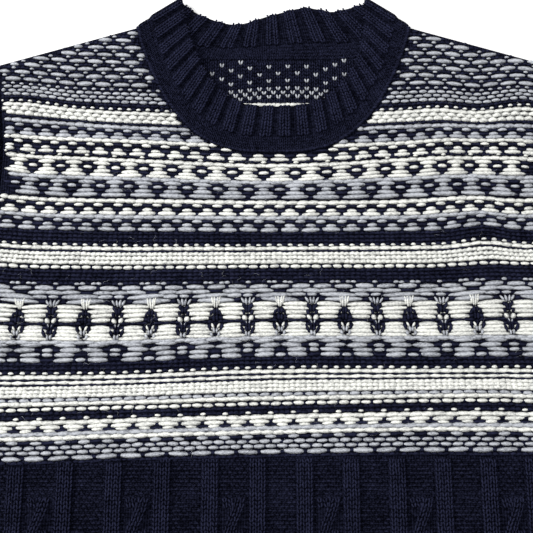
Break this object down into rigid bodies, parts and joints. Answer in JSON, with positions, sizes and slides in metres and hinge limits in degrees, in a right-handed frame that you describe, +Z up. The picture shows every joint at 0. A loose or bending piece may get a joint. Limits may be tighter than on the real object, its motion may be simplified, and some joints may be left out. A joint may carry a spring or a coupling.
{
  "type": "fair isle jumper, laid flat",
  "caption": "Crew neck knitted jumper laid flat, with a stranded fair isle yoke, a ribbed neckband, hem and cuffs, and a navy body with raised ribs and cables.",
  "frame": {"origin": "middle of the bottom of the whole object's box, on the surface that the jumper lies on", "axes": "+Z up out of the surface, +Y from the hem to the neck, +X to the right as seen from above, with the front facing up"},
  "size_m": [1.0528, 0.648, 0.0111],
  "materials": {
    "patterned_knit": "soft stranded wool in navy, white and grey",
    "navy_rib": "soft navy wool rib"
  },
  "bodies": {
    "root": {"back": "patterned_knit", "front": "patterned_knit", "sleeve_left": "patterned_knit", "sleeve_right": "patterned_knit", "neckband": "navy_rib", "hem_rib_front": "navy_rib", "hem_rib_back": "navy_rib", "cuff_left": "navy_rib", "cuff_right": "navy_rib"}
  },
  "joints": []
}
